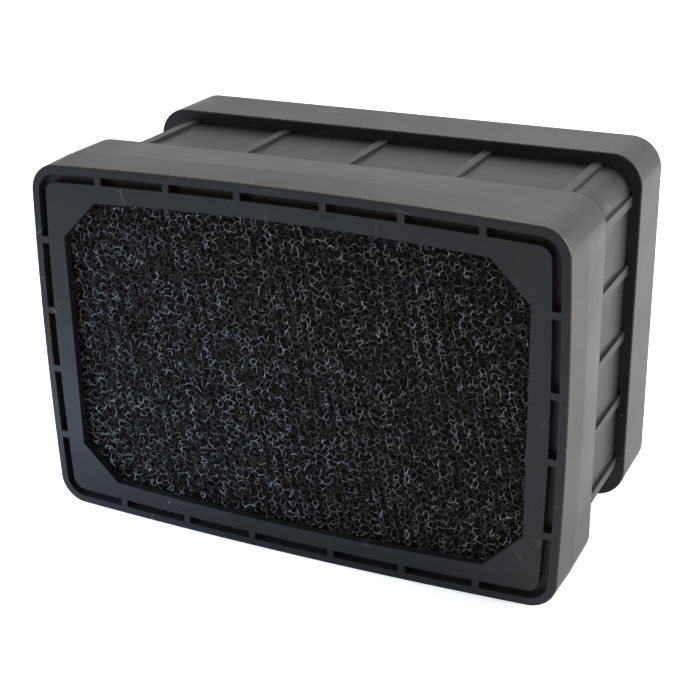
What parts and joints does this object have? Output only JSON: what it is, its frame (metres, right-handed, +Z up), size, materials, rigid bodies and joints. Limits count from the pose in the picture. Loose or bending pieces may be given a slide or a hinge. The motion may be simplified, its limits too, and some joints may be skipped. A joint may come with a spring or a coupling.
{
  "type": "air filter housing",
  "caption": "Box air filter housing: pull-off front cover with an octagonal foam inlet window, ribbed body, deep rear skirt and a pleated element that slides out of the rear.",
  "frame": {"origin": "under the middle of the housing, on the surface that it stands on", "axes": "+X to the right seen from the inlet, +Y from the inlet window to the outlet, +Z up"},
  "size_m": [0.194, 0.1084, 0.1332],
  "materials": {
    "cover_plastic": "satin moulded polypropylene, fine draft lines",
    "body_plastic": "satin moulded polypropylene",
    "skirt_plastic": "satin moulded polypropylene",
    "foam": "open-cell reticulated foam",
    "grid_plastic": "satin moulded",
    "seal_rubber": "matt",
    "pad_rubber": "matt",
    "element_plastic": "satin moulded",
    "filter_paper": "resin-treated paper",
    "potting": "cast polyurethane",
    "hot_melt": "hot-melt adhesive",
    "outlet_grid_plastic": "satin moulded",
    "gasket_foam": "closed-cell rubber, skinned"
  },
  "bodies": {
    "housing": {"body_shell": "body_plastic", "rear_skirt": "skirt_plastic", "rest_pads": "pad_rubber", "foam_support_grid": "grid_plastic", "cover_seal": "seal_rubber"},
    "cover": {"front_cover": "cover_plastic"},
    "foam_pad": {"prefilter_foam": "foam"},
    "element": {"element_frame": "element_plastic", "pleat_pack": "filter_paper", "top_potting": "potting", "bottom_potting": "potting", "front_beads": "hot_melt", "rear_beads": "hot_melt", "outlet_grid": "outlet_grid_plastic", "element_seal": "gasket_foam", "outlet_gasket": "gasket_foam"}
  },
  "joints": [
    {"name": "cover_pull", "type": "slide", "parent": "housing", "child": "cover", "axis": [0, -1, 0], "range_m": [0, 0.09]},
    {"name": "foam_lift_out", "type": "slide", "parent": "housing", "child": "foam_pad", "axis": [0, -1, 0], "range_m": [0, 0.045]},
    {"name": "element_draw", "type": "slide", "parent": "housing", "child": "element", "axis": [0, 1, 0], "range_m": [0, 0.085]}
  ],
  "couplings": [
    {"joint": "foam_lift_out", "follows": "cover_pull", "ratio": 0.5}
  ]
}
